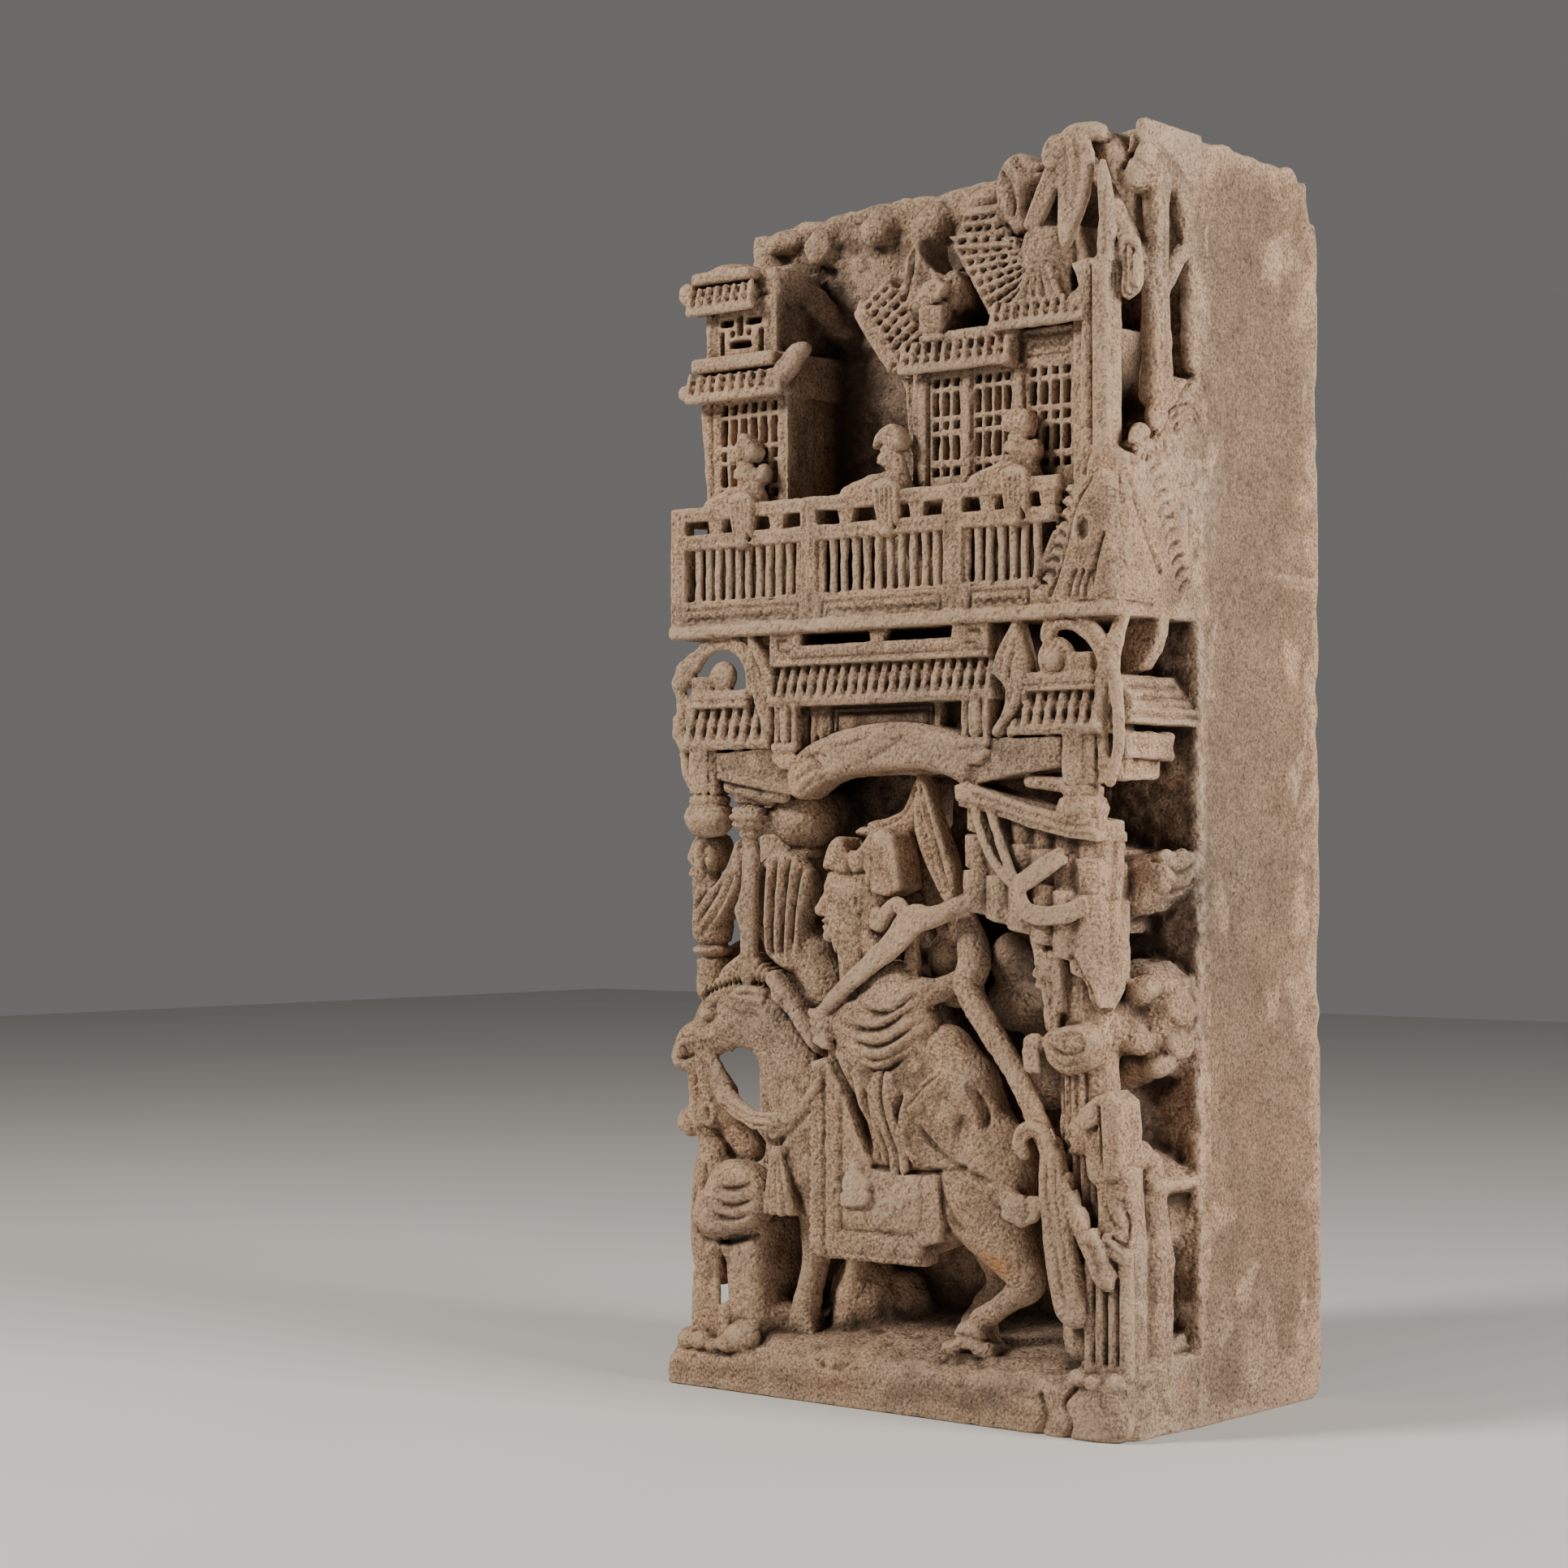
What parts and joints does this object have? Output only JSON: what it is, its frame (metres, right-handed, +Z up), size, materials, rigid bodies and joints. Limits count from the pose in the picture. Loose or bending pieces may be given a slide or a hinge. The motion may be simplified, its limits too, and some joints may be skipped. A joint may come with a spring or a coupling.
{
  "type": "stone relief panel",
  "caption": "Carved sandstone relief panel: a deep undercut front with a mounted rider, a covered bridge, a balcony and two towers on a thick plain block.",
  "frame": {"origin": "on the underside, under the middle of the outline", "axes": "+X to the right along the carved front, +Y from the carved front to the plain back, +Z up"},
  "size_m": [0.318, 0.2, 0.69],
  "materials": {
    "sandstone": "tooled and weathered"
  },
  "bodies": {
    "root": {"relief_panel": "sandstone"}
  },
  "joints": []
}
